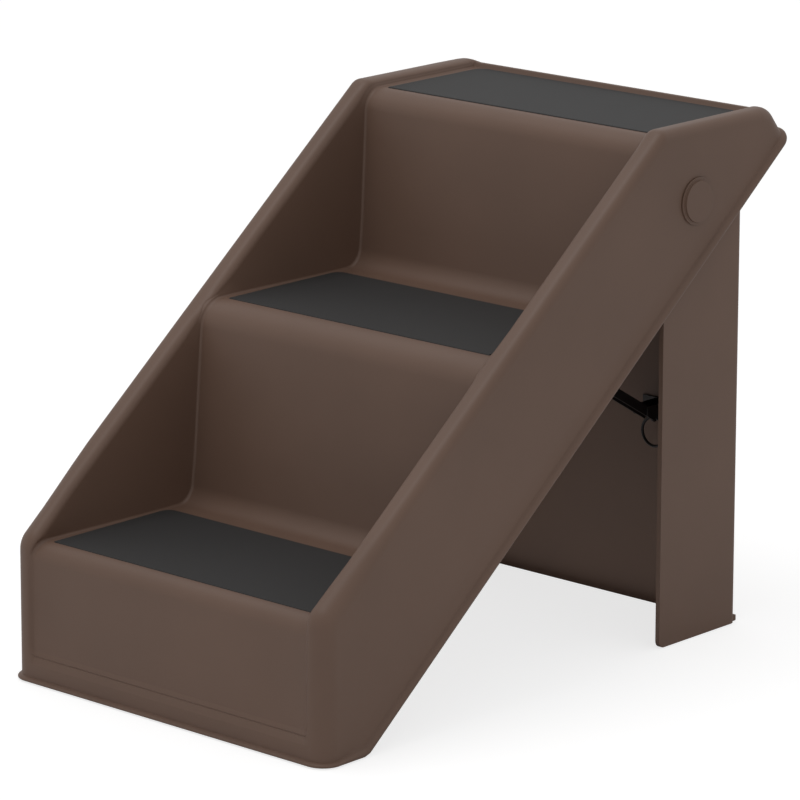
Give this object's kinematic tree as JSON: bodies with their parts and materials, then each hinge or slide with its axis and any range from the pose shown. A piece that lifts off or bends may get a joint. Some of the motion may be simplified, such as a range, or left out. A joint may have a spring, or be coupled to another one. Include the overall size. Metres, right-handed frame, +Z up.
{
  "type": "folding pet stairs",
  "caption": "Folding pet stairs: a moulded shell with grip mats on its treads, a rear leg that folds against the shell, and snap braces with pull rings.",
  "frame": {"origin": "centre of the footprint at floor level, with the stairs standing open", "axes": "+X across the stairs to the right of someone going up, +Y up the stairs from the front to the rear, +Z up"},
  "size_m": [0.408, 0.6606, 0.508],
  "materials": {
    "shell_plastic": "fine moulded grain, satin",
    "leg_plastic": "fine moulded grain, satin",
    "grip_mat": "matt, fine grip pattern",
    "washer_plastic": "matt",
    "bright_steel": "zinc plated",
    "dark_steel": "satin dark coating",
    "ring_steel": "satin dark coating",
    "black_rubber": "matt"
  },
  "bodies": {
    "shell": {"stair_shell": "shell_plastic", "lower_mat": "grip_mat", "middle_mat": "grip_mat", "upper_mat": "grip_mat", "pivot_plug_left": "shell_plastic", "pivot_plug_right": "shell_plastic", "pivot_washers": "washer_plastic", "pivot_clips": "bright_steel", "brace_bracket_left": "bright_steel", "brace_bracket_right": "bright_steel", "hinge_pins": "bright_steel", "bracket_screws": "bright_steel", "front_foot_left": "black_rubber", "front_foot_right": "black_rubber"},
    "leg": {"rear_leg": "leg_plastic", "catch_left": "dark_steel", "catch_right": "dark_steel", "catch_rivets": "bright_steel", "leg_foot_left": "black_rubber", "leg_foot_right": "black_rubber"},
    "left_brace": {"brace_left": "dark_steel"},
    "right_brace": {"brace_right": "dark_steel"},
    "left_ring": {"pull_ring_left": "ring_steel"},
    "right_ring": {"pull_ring_right": "ring_steel"}
  },
  "joints": [
    {"name": "leg_fold", "type": "hinge", "parent": "shell", "child": "leg", "pos_m": [0, 0.1879, 0.43511], "axis": [-1, 0, 0], "range_deg": [0, 51.5]},
    {"name": "left_brace_swing", "type": "hinge", "parent": "shell", "child": "left_brace", "pos_m": [-0.1, 0.08163, 0.294], "axis": [-1, 0, 0], "range_deg": [0, 113.5]},
    {"name": "right_brace_swing", "type": "hinge", "parent": "shell", "child": "right_brace", "pos_m": [0.1, 0.08163, 0.294], "axis": [-1, 0, 0], "range_deg": [0, 113.5]},
    {"name": "left_ring_swing", "type": "hinge", "parent": "left_brace", "child": "left_ring", "pos_m": [-0.1, 0.2509, 0.1944], "axis": [-1, 0, 0], "range_deg": [-10, 75]},
    {"name": "right_ring_swing", "type": "hinge", "parent": "right_brace", "child": "right_ring", "pos_m": [0.1, 0.2509, 0.1944], "axis": [-1, 0, 0], "range_deg": [-10, 75]}
  ],
  "couplings": [
    {"joint": "left_brace_swing", "follows": "leg_fold", "ratio": 2.2},
    {"joint": "right_brace_swing", "follows": "leg_fold", "ratio": 2.2}
  ]
}
